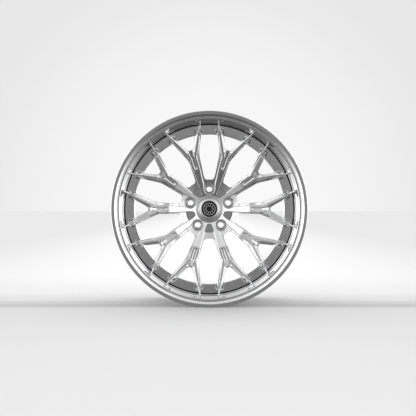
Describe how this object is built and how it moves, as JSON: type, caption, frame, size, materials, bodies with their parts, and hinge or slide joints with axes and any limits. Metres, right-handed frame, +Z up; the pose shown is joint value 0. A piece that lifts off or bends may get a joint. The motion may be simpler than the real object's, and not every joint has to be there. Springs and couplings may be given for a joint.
{
  "type": "multi-piece forged wheel rim",
  "caption": "Multi-piece forged road wheel rim with forked Y-spokes, polished stepped lip, hub bore and bolt circle, standing upright without a tyre.",
  "frame": {"origin": "wheel centre: on the axle's axis, midway between the two flange planes", "axes": "+Y along the axle towards the vehicle, the wheel's front faces -Y, +Z up with one wheel bolt hole at the top"},
  "size_m": [0.5478, 0.266, 0.5478],
  "materials": {
    "forged_centre": "forged, milled and brushed, clear coated",
    "polished_lip": "turned and polished",
    "barrel": "turned satin",
    "black_rubber": "matte black",
    "bolt_steel": "dark zinc",
    "bright_steel": "bright",
    "seat_steel": "turned, dark",
    "ring_aluminium": "turned satin",
    "cap_metal": "satin grey",
    "cap_black": "gloss black",
    "cap_trim": "bright",
    "valve_metal": "nickel plated",
    "brass": "turned",
    "valve_cap_plastic": "ribbed black",
    "seal_rubber": "matte red"
  },
  "bodies": {
    "wheel": {"centre_disc": "forged_centre", "outer_lip": "polished_lip", "inner_barrel": "barrel", "seam_seal_ring": "black_rubber", "rim_seal_ring": "black_rubber", "assembly_bolts": "bolt_steel", "assembly_washers": "bright_steel", "thread_inserts": "bright_steel", "lug_seat_inserts": "seat_steel", "hub_centric_ring": "ring_aluminium", "valve_stem": "valve_metal", "valve_grommet": "black_rubber", "valve_washer": "valve_metal", "valve_nut": "valve_metal", "valve_core_body": "brass", "valve_core_spring": "bright_steel"},
    "centre_cap": {"cap_body": "cap_metal", "cap_insert": "cap_black", "cap_insert_ring": "cap_trim", "cap_spring_ring": "bright_steel", "cap_o_ring": "black_rubber"},
    "valve_cap_body": {"valve_cap": "valve_cap_plastic", "valve_cap_seal": "seal_rubber"},
    "valve_pin": {"valve_core_pin": "brass"}
  },
  "joints": [
    {"name": "cap_pull", "type": "slide", "parent": "wheel", "child": "centre_cap", "axis": [0, -1, 0], "range_m": [0, 0.02]},
    {"name": "valve_cap_off", "type": "slide", "parent": "wheel", "child": "valve_cap_body", "axis": [-0.153, 0, 0.9882], "range_m": [0, 0.012]},
    {"name": "valve_pin_push", "type": "slide", "parent": "wheel", "child": "valve_pin", "axis": [0.153, 0, -0.9882], "range_m": [0, 0.0015], "stiffness_N_per_m": 300}
  ]
}
